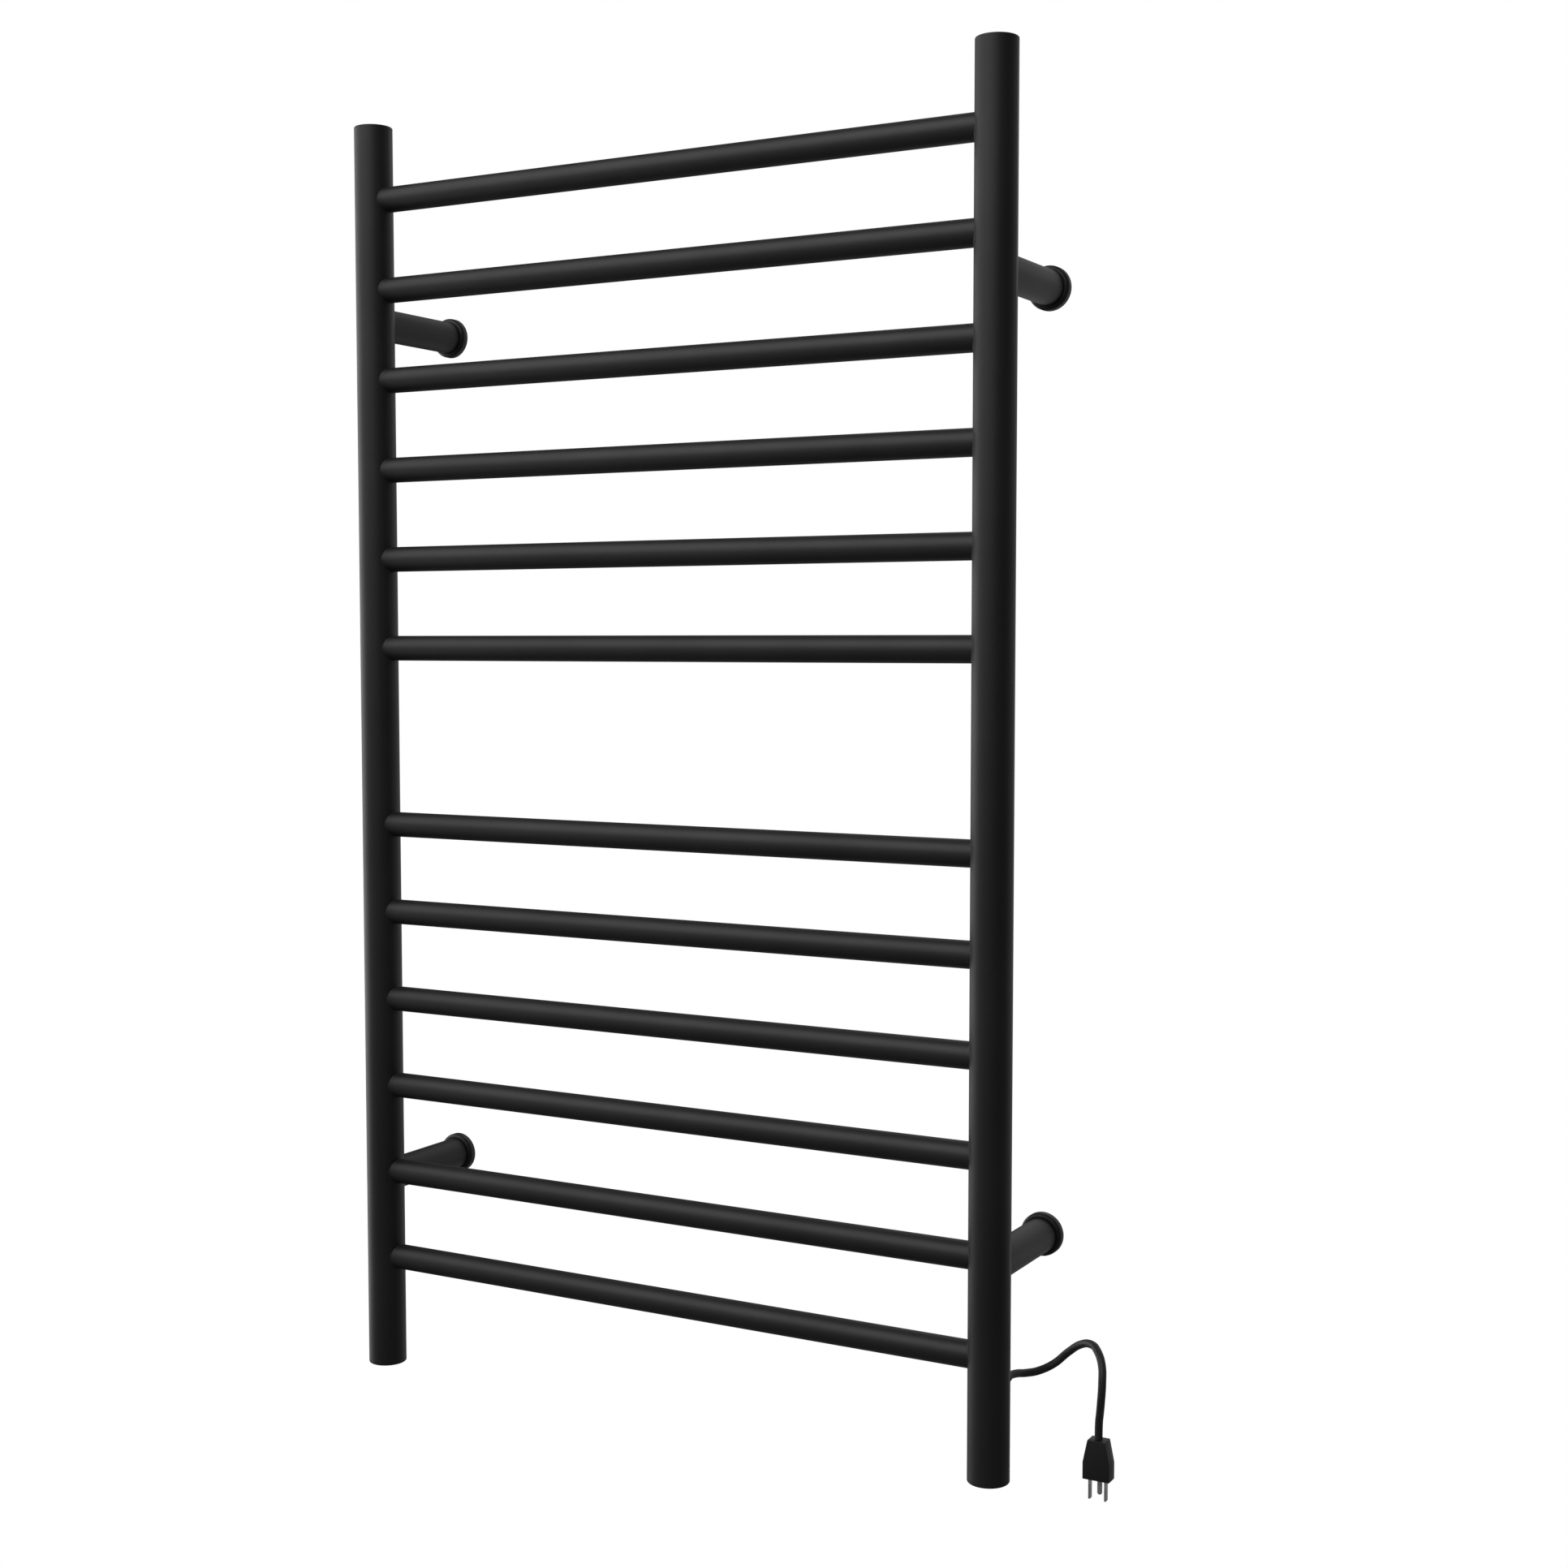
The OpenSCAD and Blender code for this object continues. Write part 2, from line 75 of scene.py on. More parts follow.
Colour = tuple[float, float, float]
Point = tuple[float, float, float]
LEVELS = ("upper", "lower")
SIDES = ("left", "right")
WHITE = (1, 1, 1, 1)
STEEP = 0.5  # a face whose normal's z is below this is a side face
FACES_DOWN = -0.99  # a face whose normal's z is below this looks down
NEAR = 0.01 * MM  # two places closer than this are taken for one
WELD = 0.001 * MM  # vertices closer than this are merged


class Slot(Enum):
    """The record's material slots."""

    POWDER_BLACK = "powder_black"
    COVER_BLACK = "cover_black"
    ZINC_BASE = "zinc_base"
    BLACK_OXIDE = "black_oxide"
    ZINC_INSERT = "zinc_insert"
    SILICONE_RED = "silicone_red"
    WIRE_WHITE = "wire_white"
    CUTOUT_CASE = "cutout_case"
    SPLICE_NYLON = "splice_nylon"
    WIRE_BLACK = "wire_black"
    WIRE_GREEN = "wire_green"
    TINNED_BRASS = "tinned_brass"
    BOOT_RUBBER = "boot_rubber"
    CORD_SHEATH = "cord_sheath"
    PLUG_PLASTIC = "plug_plastic"
    PIN_METAL = "pin_metal"


# ------------------------------------------------------------------ shader graph


class Signal:
    """A number that varies over a surface and takes part in Python arithmetic."""

    def __init__(self, graph: "Graph", socket: bpy.types.NodeSocket) -> None:
        """Wraps one output socket.

        Args:
            graph: The graph that the socket belongs to.
            socket: The output socket.
        """
        self.graph = graph
        self.socket = socket

    def _math(self, operation: str, left: "Signal | float", right: "Signal | float") -> "Signal":
        """Adds one Math node.

        Args:
            operation: The node's operation.
            left: Its first value.
            right: Its second value.

        Returns:
            The node's result.
        """
        node = self.graph.node("ShaderNodeMath", {"operation": operation}, {0: left, 1: right})
        return Signal(self.graph, node.outputs[0])

    def __add__(self, other: "Signal | float") -> "Signal":
        """Adds a signal or a number.

        Args:
            other: The signal or number.

        Returns:
            The sum.
        """
        return self._math("ADD", self, other)

    __radd__ = __add__

    def __sub__(self, other: "Signal | float") -> "Signal":
        """Subtracts a signal or a number.

        Args:
            other: The signal or number.

        Returns:
            The difference.
        """
        return self._math("SUBTRACT", self, other)

    def __rsub__(self, other: float) -> "Signal":
        """Subtracts this signal from a number.

        Args:
            other: The number.

        Returns:
            The difference.
        """
        return self._math("SUBTRACT", other, self)

    def __mul__(self, other: "Signal | float") -> "Signal":
        """Multiplies by a signal or a number.

        Args:
            other: The signal or number.

        Returns:
            The product.
        """
        return self._math("MULTIPLY", self, other)


class Graph:
    """The node tree of one material or world."""

    MIX_FACTOR, MIX_A, MIX_B, MIX_COLOUR = 0, 6, 7, 2

    def __init__(self, tree: bpy.types.NodeTree) -> None:
        """Empties a tree and works on it.

        Args:
            tree: The node tree.
        """
        self.tree = tree
        self.tree.nodes.clear()

    def node(
        self,
        kind: str,
        settings: Mapping[str, Any] | None = None,
        sockets: Mapping[str | int, Any] | None = None,
    ) -> bpy.types.Node:
        """Adds a node.

        Args:
            kind: The node's type.
            settings: Its own settings.
            sockets: The values or links of its input sockets.

        Returns:
            The node.
        """
        made = self.tree.nodes.new(kind)
        for name, value in (settings or {}).items():
            setattr(made, name, value)
        for name, value in (sockets or {}).items():
            source = value.socket if isinstance(value, Signal) else value
            if isinstance(source, bpy.types.NodeSocket):
                self.tree.links.new(source, made.inputs[name])
            else:
                made.inputs[name].default_value = source
        return made

    def coordinates(self, stretch: Point = (1, 1, 1)) -> bpy.types.NodeSocket:
        """The piece's object coordinates, in metres.

        Args:
            stretch: The scale along each axis.

        Returns:
            A vector socket.
        """
        place = self.node("ShaderNodeTexCoord").outputs["Object"]
        if stretch == (1, 1, 1):
            return place
        return self.node("ShaderNodeMapping", None, {"Vector": place, "Scale": stretch}).outputs[0]

    def noise(self, vector: bpy.types.NodeSocket, scale: float, detail: float = 2) -> Signal:
        """Soft noise from 0 to 1.

        Args:
            vector: The coordinates it is read at.
            scale: How many lumps there are to a metre.
            detail: How many finer layers it has.

        Returns:
            The noise.
        """
        sockets = {"Vector": vector, "Scale": scale, "Detail": detail}
        return Signal(self, self.node("ShaderNodeTexNoise", None, sockets).outputs[0])

    def swing(self, signal: Signal, span: float) -> Signal:
        """Turns a noise from 0 to 1 into a small change up and down.

        Args:
            signal: The noise.
            span: The whole span of the change.

        Returns:
            The change, from minus half the span to plus half of it.
        """
        return (signal - 0.5) * span

    def contrast(self, signal: Signal, low: float, high: float) -> Signal:
        """Stretches a signal so that low becomes 0 and high becomes 1, and cuts it there.

        Args:
            signal: The signal.
            low: The value that becomes 0.
            high: The value that becomes 1.

        Returns:
            The stretched signal.
        """
        sockets = {0: signal, 1: low, 2: high}
        return Signal(self, self.node("ShaderNodeMapRange", None, sockets).outputs[0])

    def blend(self, mask: Signal, first: Colour, second: Colour) -> bpy.types.NodeSocket:
        """Mixes two colours by a mask.

        Args:
            mask: 0 gives the first colour, and 1 the second.
            first: The first colour.
            second: The second colour.

        Returns:
            A colour socket.
        """
        sockets = {self.MIX_FACTOR: mask, self.MIX_A: (*first, 1), self.MIX_B: (*second, 1)}
        return self.node("ShaderNodeMix", {"data_type": "RGBA"}, sockets).outputs[self.MIX_COLOUR]

    def relief(self, height: Signal, depth: float, strength: float) -> bpy.types.NodeSocket:
        """Turns a height into a bumped normal.

        Args:
            height: The height, from 0 to 1.
            depth: What a height of 1 stands for, in metres.
            strength: How far the normal follows it.

        Returns:
            A normal socket.
        """
        sockets = {"Height": height, "Distance": depth, "Strength": strength}
        return self.node("ShaderNodeBump", None, sockets).outputs[0]


# ------------------------------------------------------------------ finishes


def shaded(colour: Colour, factor: float) -> Colour:
    """A lighter or darker colour.

    Args:
        colour: The colour.
        factor: What it is multiplied by.

    Returns:
        The new colour.
    """
    return tuple(min(1.0, level * factor) for level in colour)


@dataclass(frozen=True)
class Finish(ABC):
    """What a surface is made of."""

    colour: Colour
    roughness: float

    def material(self, name: str) -> bpy.types.Material:
        """Makes the material.

        Args:
            name: Its name.

        Returns:
            The material.
        """
        made = bpy.data.materials.new(name)
        made.use_nodes = True
        graph = Graph(made.node_tree)
        shader = graph.node("ShaderNodeBsdfPrincipled", None, self.sockets(graph))
        graph.node("ShaderNodeOutputMaterial", None, {"Surface": shader.outputs[0]})
        made.diffuse_color = (*self.colour, 1)
        return made

    @abstractmethod
    def sockets(self, graph: Graph) -> dict[str, Any]:
        """The shader's sockets.

        Args:
            graph: The graph that their nodes are added to.

        Returns:
            The value or link of each socket.
        """


@dataclass(frozen=True)
class PowderCoat(Finish):
    """Baked powder coat: a slow drift of the film, orange peel, and a fine sandy grain."""

    drift: float = 0.22
    film_per_metre: float = 14
    film_range: tuple[float, float] = (0.35, 0.65)
    film_sheen: float = 0.08
    grain_sheen: float = 0.1
    peel_per_metre: float = 620
    peel_share: float = 0.65
    grain_per_metre: float = 2600
    depth: float = 0.035 * MM
    bumpiness: float = 0.3

    def sockets(self, graph: Graph) -> dict[str, Any]:
        """The film's drift, its peel and its grain.

        Args:
            graph: The graph that their nodes are added to.

        Returns:
            The value or link of each socket.
        """
        place = graph.coordinates()
        film = graph.noise(place, self.film_per_metre, 3)
        peel = graph.noise(place, self.peel_per_metre, 1)
        grain = graph.noise(place, self.grain_per_metre, 2)
        thin, thick = shaded(self.colour, 1 + self.drift), shaded(self.colour, 1 - self.drift)
        sheen = self.roughness + graph.swing(film, self.film_sheen)
        bumps = peel * self.peel_share + grain * (1 - self.peel_share)
        return {
            "Base Color": graph.blend(graph.contrast(film, *self.film_range), thin, thick),
            "Roughness": sheen + graph.swing(grain, self.grain_sheen),
            "Normal": graph.relief(bumps, self.depth, self.bumpiness),
        }


@dataclass(frozen=True)
class PlatedMetal(Finish):
    """Plated or oiled metal with tool marks along or round one axis and faint blotches."""

    marks: Point = (1, 1, 1)
    marks_per_metre: float = 900
    cloud_per_metre: float = 160
    cloud_range: tuple[float, float] = (0.3, 0.7)
    blotch: float = 0.12
    sheen: float = 0.12
    depth: float = 0.02 * MM
    bumpiness: float = 0.5

    def sockets(self, graph: Graph) -> dict[str, Any]:
        """The clouds and the tool marks.

        Args:
            graph: The graph that their nodes are added to.

        Returns:
            The value or link of each socket.
        """
        cloud = graph.noise(graph.coordinates(), self.cloud_per_metre, 3)
        lines = graph.noise(graph.coordinates(self.marks), self.marks_per_metre, 2)
        light, dark = shaded(self.colour, 1 + self.blotch), shaded(self.colour, 1 - self.blotch)
        dulled = self.roughness + graph.swing(cloud, self.sheen)
        return {
            "Base Color": graph.blend(graph.contrast(cloud, *self.cloud_range), dark, light),
            "Metallic": 1.0,
            "Roughness": dulled + graph.swing(lines, self.sheen),
            "Normal": graph.relief(lines, self.depth, self.bumpiness),
        }


@dataclass(frozen=True)
class MouldedPlastic(Finish):
    """Moulded plastic or rubber with the mould's spark-eroded grain and rubbed patches."""

    grain_per_metre: float = 3800
    grain_depth: float = 0.03 * MM
    grain_sheen: float = 0.1
    patches_per_metre: float = 70
    patch_range: tuple[float, float] = (0.35, 0.7)
    patch_share: float = 0.6
    rubbed: float = 0.08
    worn: float = 0.25
    bumpiness: float = 0.5

    def sockets(self, graph: Graph) -> dict[str, Any]:
        """The rubbed patches and the grain.

        Args:
            graph: The graph that their nodes are added to.

        Returns:
            The value or link of each socket.
        """
        place = graph.coordinates()
        patches = graph.noise(place, self.patches_per_metre, 3)
        patches = graph.contrast(patches, *self.patch_range)
        grain = graph.noise(place, self.grain_per_metre, 2)
        mask = patches * self.patch_share + grain * (1 - self.patch_share)
        polished = self.roughness - patches * self.rubbed
        return {
            "Base Color": graph.blend(mask, self.colour, shaded(self.colour, 1 + self.worn)),
            "Roughness": polished + graph.swing(grain, self.grain_sheen),
            "Normal": graph.relief(grain, self.grain_depth, self.bumpiness),
        }


@dataclass(frozen=True)
class DrawnSheath(Finish):
    """A wire's or cable's extruded sheath: drawing lines along it, and a dull bloom."""

    lines: Point = (1, 1, 0.02)
    lines_per_metre: float = 1500
    depth: float = 0.02 * MM
    bumpiness: float = 0.4
    bloom_per_metre: float = 45
    bloom_range: tuple[float, float] = (0.4, 0.7)
    bloom_share: float = 0.7
    bloom: float = 0.2
    dulling: float = 0.1
    line_sheen: float = 0.08

    def sockets(self, graph: Graph) -> dict[str, Any]:
        """The bloom and the drawing lines.

        Args:
            graph: The graph that their nodes are added to.

        Returns:
            The value or link of each socket.
        """
        bloom = graph.noise(graph.coordinates(), self.bloom_per_metre, 3)
        bloom = graph.contrast(bloom, *self.bloom_range)
        drawn = graph.noise(graph.coordinates(self.lines), self.lines_per_metre, 2)
        mask = bloom * self.bloom_share + drawn * (1 - self.bloom_share)
        dulled = self.roughness + bloom * self.dulling
        return {
            "Base Color": graph.blend(mask, self.colour, shaded(self.colour, 1 + self.bloom)),
            "Roughness": dulled + graph.swing(drawn, self.line_sheen),
            "Normal": graph.relief(drawn, self.depth, self.bumpiness),
        }


FINISHES: dict[Slot, Finish] = {
    Slot.POWDER_BLACK: PowderCoat((0.0105, 0.0105, 0.0107), 0.5),
    Slot.COVER_BLACK: PowderCoat((0.0115, 0.0115, 0.0118), 0.48),
    Slot.ZINC_BASE: PlatedMetal((0.56, 0.57, 0.6), 0.34, (1, 0.05, 1), 700),
    Slot.BLACK_OXIDE: PlatedMetal((0.035, 0.035, 0.04), 0.42, (1, 0.08, 1), 1200),
    Slot.ZINC_INSERT: PlatedMetal((0.58, 0.56, 0.48), 0.36, (1, 0.06, 1), 1100),
    Slot.SILICONE_RED: DrawnSheath((0.36, 0.05, 0.028), 0.52, (0.03, 1, 1)),
    Slot.WIRE_WHITE: DrawnSheath((0.7, 0.69, 0.65), 0.45),
    Slot.CUTOUT_CASE: MouldedPlastic((0.52, 0.47, 0.36), 0.5),
    Slot.SPLICE_NYLON: MouldedPlastic((0.62, 0.61, 0.55), 0.38),
    Slot.WIRE_BLACK: DrawnSheath((0.02, 0.02, 0.02), 0.45),
    Slot.WIRE_GREEN: DrawnSheath((0.03, 0.2, 0.045), 0.45),
    Slot.TINNED_BRASS: PlatedMetal((0.66, 0.56, 0.33), 0.3, (0.06, 1, 1), 1000),
    Slot.BOOT_RUBBER: MouldedPlastic((0.012, 0.012, 0.0125), 0.58, rubbed=0.05),
    Slot.CORD_SHEATH: DrawnSheath((0.021, 0.021, 0.0215), 0.5, (1, 1, 1), 1400, bumpiness=0.05),
    Slot.PLUG_PLASTIC: MouldedPlastic((0.0105, 0.0105, 0.011), 0.52),
    Slot.PIN_METAL: PlatedMetal((0.68, 0.67, 0.655), 0.46, (1, 1, 0.04), 1600),
}


class Paint:
    """Makes each slot's material once and hands it out."""

    def __init__(self) -> None:
        """Makes every material."""
        self.made = {slot: FINISHES[slot].material(f"finish_{slot.value}") for slot in Slot}

    def coat(self, piece: bpy.types.Object, slot: Slot) -> None:
        """Finishes a new piece.

        Args:
            piece: The piece.
            slot: The record's slot that it takes its finish from.
        """
        piece.data.materials.clear()
        piece.data.materials.append(self.made[slot])

    def coat_frame(self) -> None:
        """Gives every CAD node the finish of the slot it was packed with."""
        for name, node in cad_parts.items():
            for place in node.material_slots:
                slot = Slot(place.material.name.split(".")[0])
                place.material = self.made[slot]
            LOG.info("CAD node %s finished", name)


# ------------------------------------------------------------------ workbench


class Bench:
    """Modelling by operators, with what they act on selected in code."""

    @staticmethod
    def clear_selection() -> None:
        """Deselects every object."""
        bpy.ops.object.select_all(action="DESELECT")

    @staticmethod
    @contextmanager
    def editing(piece: bpy.types.Object) -> Iterator[None]:
        """Puts one piece in edit mode for a while, with nothing in it selected.

        Args:
            piece: The piece.
        """
        Bench.clear_selection()
        piece.select_set(True)
        bpy.context.view_layer.objects.active = piece
        bpy.ops.object.mode_set(mode="EDIT")
        bpy.ops.mesh.select_all(action="DESELECT")
        yield
        bpy.ops.object.mode_set(mode="OBJECT")

    @staticmethod
    def pick_faces(piece: bpy.types.Object, test: Callable[[bpy.types.MeshPolygon], bool]) -> None:
        """Selects the faces that pass a test, and nothing else, in edit mode.

        Args:
            piece: The piece in edit mode.
            test: Says yes for a face that is wanted.
        """
        bpy.ops.mesh.select_mode(type="FACE")
        bpy.ops.mesh.select_all(action="DESELECT")
        bpy.ops.object.mode_set(mode="OBJECT")
        for face in piece.data.polygons:
            face.select = test(face)
        bpy.ops.object.mode_set(mode="EDIT")

    @staticmethod
    def round_edges(piece: bpy.types.Object, width: float, segments: int, angle: float) -> None:
        """Rounds a piece's sharp edges with an applied Bevel modifier.

        Args:
            piece: The piece.
            width: The width of the rounding.
            segments: How many faces it has across.
            angle: The least angle of an edge that is rounded, in degrees.
        """
        Bench.clear_selection()
        piece.select_set(True)
        bpy.context.view_layer.objects.active = piece
        bevel = piece.modifiers.new("rounding", "BEVEL")
        bevel.width = width
        bevel.segments = segments
        bevel.limit_method = "ANGLE"
        bevel.angle_limit = math.radians(angle)
        bpy.ops.object.modifier_apply(modifier=bevel.name)

    @staticmethod
    def complete(piece: bpy.types.Object, name: str, smooth_angle: float = 30) -> bpy.types.Object:
        """Names a piece, turns its faces outwards, smooths it and applies its place.

        Args:
            piece: The piece.
            name: Its name.
            smooth_angle: The greatest angle that is shaded smooth, in degrees.

        Returns:
            The piece.
        """
        piece.name = name
        piece.data.name = name
        with Bench.editing(piece):
            bpy.ops.mesh.select_all(action="SELECT")
            bpy.ops.mesh.remove_doubles(threshold=WELD)
            bpy.ops.mesh.normals_make_consistent(inside=False)
        bpy.ops.object.transform_apply(location=True, rotation=True, scale=True)
        bpy.ops.object.shade_smooth_by_angle(angle=math.radians(smooth_angle))
        Bench.clear_selection()
        return piece


# ------------------------------------------------------------------ sub-assemblies


def centre_of(node: str) -> Vector:
    """The middle of a CAD node's box.

    Args:
        node: The node's name.

    Returns:
        The point.
    """
    low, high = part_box(node)
    return (low + high) / 2


def size_of(node: str) -> Vector:
    """The size of a CAD node's box.

    Args:
        node: The node's name.

    Returns:
        The size along each axis.
    """
    low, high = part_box(node)
    return high - low


@dataclass
class Plug:
    """The moulded three-pin plug: a block that narrows towards the cord, and its flat blades."""

    top_width: float = 14.1 * MM
    straight_height: float = 13 * MM
    edge_round: float = 0.35 * MM
    seam_width: float = 0.3 * MM
    seam_depth: float = 0.12 * MM
    face_rim: float = 1.1 * MM
    face_recess: float = 0.35 * MM
    blade_round: float = 0.12 * MM
    blade_tip: float = 0.4 * MM
    blade_tip_share: float = 0.85
    body: bpy.types.Object = field(init=False)
    blades: bpy.types.Object = field(init=False)

    def __post_init__(self) -> None:
        """Reads the plug's place and size from the frame."""
        self.centre = centre_of("plug_body")
        self.size = size_of("plug_body")

    def build(self, paint: Paint) -> None:
        """Models and finishes the plug.

        Args:
            paint: Where its finishes come from.
        """
        self.body = self._body()
        self.blades = self._blades()
        paint.coat(self.body, Slot.PLUG_PLASTIC)
        paint.coat(self.blades, Slot.PIN_METAL)
        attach(self.body, "root")
        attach(self.blades, "root")
        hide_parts("plug_body")
        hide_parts("plug_blades")

    def _body(self) -> bpy.types.Object:
        """Models the moulded body.

        Returns:
            The body.
        """
        Bench.clear_selection()
        bpy.ops.mesh.primitive_cube_add(size=1, location=self.centre, scale=self.size)
        body = bpy.context.active_object
        bpy.ops.object.transform_apply(location=True, rotation=True, scale=True)
        top = self.centre.z + self.size.z / 2
        bottom = self.centre.z - self.size.z / 2
        shoulder = (self.centre.x, self.centre.y, bottom + self.straight_height)
        with Bench.editing(body):
            bpy.ops.mesh.select_all(action="SELECT")
            bpy.ops.mesh.bisect(plane_co=shoulder, plane_no=(0, 0, 1))
            Bench.pick_faces(body, lambda face: face.center.z > top - NEAR)
            narrowing = (self.top_width / self.size.x, 1, 1)
            bpy.ops.transform.resize(value=narrowing, center_override=self.centre)
        Bench.round_edges(body, self.edge_round, segments=3, angle=20)
        with Bench.editing(body):
            self._seam(body)
            Bench.pick_faces(body, lambda face: face.normal.z < FACES_DOWN)
            bpy.ops.mesh.inset(thickness=self.face_rim, depth=0)
            bpy.ops.mesh.inset(thickness=self.face_recess / 2, depth=-self.face_recess)
        return Bench.complete(body, "plug_moulding")

    def _seam(self, body: bpy.types.Object) -> None:
        """Sinks the mould's parting line into the body's narrow sides, in edit mode.

        Args:
            body: The body in edit mode.
        """
        for offset in (-2, -1, 1, 2):
            plane = (0, self.centre.y + offset * self.seam_width / 2, 0)
            Bench.pick_faces(body, lambda face: abs(face.normal.z) < STEEP)
            bpy.ops.mesh.bisect(plane_co=plane, plane_no=(0, 1, 0))
        half = self.seam_width / 2 + NEAR
        Bench.pick_faces(
            body,
            lambda face: abs(face.normal.z) < STEEP and abs(face.center.y - self.centre.y) < half,
        )
        bpy.ops.transform.shrink_fatten(value=-self.seam_depth)

    def _blades(self) -> bpy.types.Object:
        """Models the two flat blades as one pair.

        Returns:
            The pair.
        """
        low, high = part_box("plug_blades")
        thickness = self._blade_thickness()
        sides = []
        for x in (low.x + thickness / 2, high.x - thickness / 2):
            middle = Vector((x, (low.y + high.y) / 2, (low.z + high.z) / 2))
            sides.append(self._blade(middle, (thickness, high.y - low.y, high.z - low.z)))
        Bench.clear_selection()
        for side in sides:
            side.select_set(True)
        bpy.context.view_layer.objects.active = sides[0]
        bpy.ops.object.join()
        return Bench.complete(sides[0], "plug_blade_pair")

    def _blade_thickness(self) -> float:
        """The thickness of one blade, from the CAD blades' vertices.

        Returns:
            The thickness.
        """
        places = [v.co.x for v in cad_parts["plug_blades"].data.vertices]
        left = [x for x in places if x < self.centre.x]
        return max(left) - min(left)

    def _blade(self, middle: Vector, size: Sequence[float]) -> bpy.types.Object:
        """Models one blade with clipped corners at its tip.

        Args:
            middle: The blade's centre.
            size: Its size along each axis.

        Returns:
            The blade.
        """
        Bench.clear_selection()
        bpy.ops.mesh.primitive_cube_add(size=1, location=middle, scale=size)
        blade = bpy.context.active_object
        bpy.ops.object.transform_apply(location=True, rotation=True, scale=True)
        tip = middle.z - size[2] / 2
        with Bench.editing(blade):
            bpy.ops.mesh.select_all(action="SELECT")
            bpy.ops.mesh.bisect(plane_co=(0, 0, tip + self.blade_tip), plane_no=(0, 0, 1))
            Bench.pick_faces(blade, lambda face: face.center.z < tip + NEAR)
            narrowing = (self.blade_tip_share, 1 - 2 * self.blade_tip / size[1], 1)
            bpy.ops.transform.resize(value=narrowing, center_override=middle)
        Bench.round_edges(blade, self.blade_round, segments=2, angle=25)
        return blade


@dataclass
class PowerCord:
    """The short mains cord, from its boot behind the right upright to the plug."""

    route: tuple[Point, ...] = (
        (0.284, -0.069, -0.459),
        (0.2855, -0.0565, -0.460),
        (0.2895, -0.046, -0.462),
        (0.296, -0.036, -0.462),
        (0.305, -0.0275, -0.4575),
        (0.3145, -0.0235, -0.4485),
        (0.3255, -0.026, -0.440),
        (0.3385, -0.035, -0.4355),
        (0.345, -0.0415, -0.437),
        (0.352, -0.050, -0.4445),
        (0.3545, -0.0555, -0.456),
        (0.3535, -0.055, -0.471),
        (0.3505, -0.049, -0.4825),
        (0.348, -0.044, -0.491),
        (0.3465, -0.0405, -0.5055),
    )
    diameter: float = 6.1 * MM
    length: float = 184 * MM
    handle: float = 4 * MM
    bevel_steps: int = 8
    line_steps: int = 10

    def build(self, paint: Paint, plug: Plug) -> bpy.types.Object:
        """Args:
            paint: Where its finish comes from.
            plug: The plug on its far end; not used.

        Returns:
            The cord.
        """
        line = bpy.data.curves.new("cord", "CURVE")
        line.dimensions = "3D"
        line.bevel_depth = self.diameter / 2
        line.bevel_resolution = self.bevel_steps
        line.resolution_u = self.line_steps
        line.use_fill_caps = True
        spline = line.splines.new("BEZIER")
        spline.bezier_points.add(len(self.route) - 1)
        for point, place in zip(spline.bezier_points, self.route):
            point.co = place
            point.handle_left_type = "AUTO"
            point.handle_right_type = "AUTO"
        self._aim(spline.bezier_points[0], Vector((0, 1, 0)))
        self._aim(spline.bezier_points[-1], Vector((0, 0, -1)))
        cord = bpy.data.objects.new("mains_cord", line)
        bpy.context.scene.collection.objects.link(cord)
        paint.coat(cord, Slot.CORD_SHEATH)
        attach(cord, "root")
        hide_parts("power_cord")
        return cord

    def _aim(self, point: bpy.types.BezierSplinePoint, direction: Vector) -> None:
        """Makes the line leave or reach an end point in one direction.

        Args:
            point: The end point.
            direction: The direction of travel there.
        """
        point.handle_left_type = "FREE"
        point.handle_right_type = "FREE"
        point.handle_left = point.co - direction * self.handle
        point.handle_right = point.co + direction * self.handle


